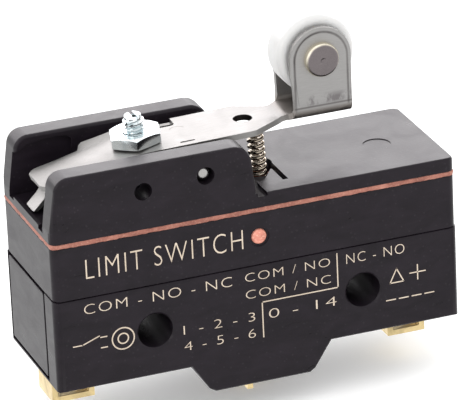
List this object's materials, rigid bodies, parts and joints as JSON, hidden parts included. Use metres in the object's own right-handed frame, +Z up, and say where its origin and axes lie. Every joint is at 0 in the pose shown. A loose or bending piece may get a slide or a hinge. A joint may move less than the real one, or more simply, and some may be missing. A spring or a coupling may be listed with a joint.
{
  "type": "limit switch",
  "caption": "Enclosed snap-action limit switch with a hinged roller lever in a tall side-walled housing, a sealing gasket and solder lugs under the case.",
  "frame": {"origin": "midway between the two mounting hole centres, on the rear mounting face", "axes": "+X along the case towards the roller end, +Z up towards the roller, -Y out of the front face"},
  "size_m": [0.0492, 0.0174, 0.0445],
  "materials": {
    "phenolic": "moulded black phenolic, satin",
    "sealant": "salmon sealing compound and gasket, matt",
    "steel": "pressed stainless steel, satin bright",
    "zinc": "bright zinc plate",
    "brass": "plain brass",
    "copper_alloy": "beryllium copper spring sheet",
    "silver": "silver alloy contact",
    "nylon": "white moulded nylon",
    "rubber": "black silicone rubber",
    "spring_wire": "drawn spring wire"
  },
  "bodies": {
    "case": {"base_case": "phenolic", "end_plate": "phenolic", "case_cover": "phenolic", "vent_plug": "sealant", "gasket": "sealant", "lever_housing": "phenolic", "pivot_pin": "steel", "com_terminal": "brass", "no_terminal": "brass", "nc_terminal": "brass", "blade_clamp": "brass", "blade_rivet": "brass", "no_fixed_contact": "silver", "nc_fixed_contact": "silver", "plunger_seal": "rubber", "return_spring": "spring_wire"},
    "lever_arm": {"lever": "steel", "roller_rivet": "steel", "adjusting_screw": "zinc", "lock_nut": "zinc"},
    "roller": {"roller": "nylon"},
    "plunger": {"plunger": "phenolic"},
    "blade": {"snap_blade": "copper_alloy", "moving_contact": "silver"}
  },
  "joints": [
    {"name": "lever_press", "type": "hinge", "parent": "case", "child": "lever_arm", "pos_m": [-0.0058, -0.00873, 0.01775], "axis": [0, 1, 0], "range_deg": [0, 14], "stiffness_Nm_per_rad": 0.15, "springref_deg": -14.32, "deforming": ["return_spring"]},
    {"name": "roller_spin", "type": "hinge", "parent": "lever_arm", "child": "roller", "pos_m": [0.0106, -0.00873, 0.02708], "axis": [0, 1, 0], "continuous": true},
    {"name": "plunger_rise", "type": "slide", "parent": "case", "child": "plunger", "axis": [0, 0, 1], "range_m": [0, 0.00098]},
    {"name": "blade_flip", "type": "hinge", "parent": "case", "child": "blade", "pos_m": [-0.01995, -0.00873, 0.00692], "axis": [0, 1, 0], "range_deg": [-0.82, 0], "stiffness_Nm_per_rad": 0.002, "springref_deg": -4.7}
  ],
  "couplings": [
    {"joint": "plunger_rise", "follows": "lever_press", "m_per_rad": 0.003888},
    {"joint": "blade_flip", "follows": "lever_press", "ratio": -0.0565}
  ]
}
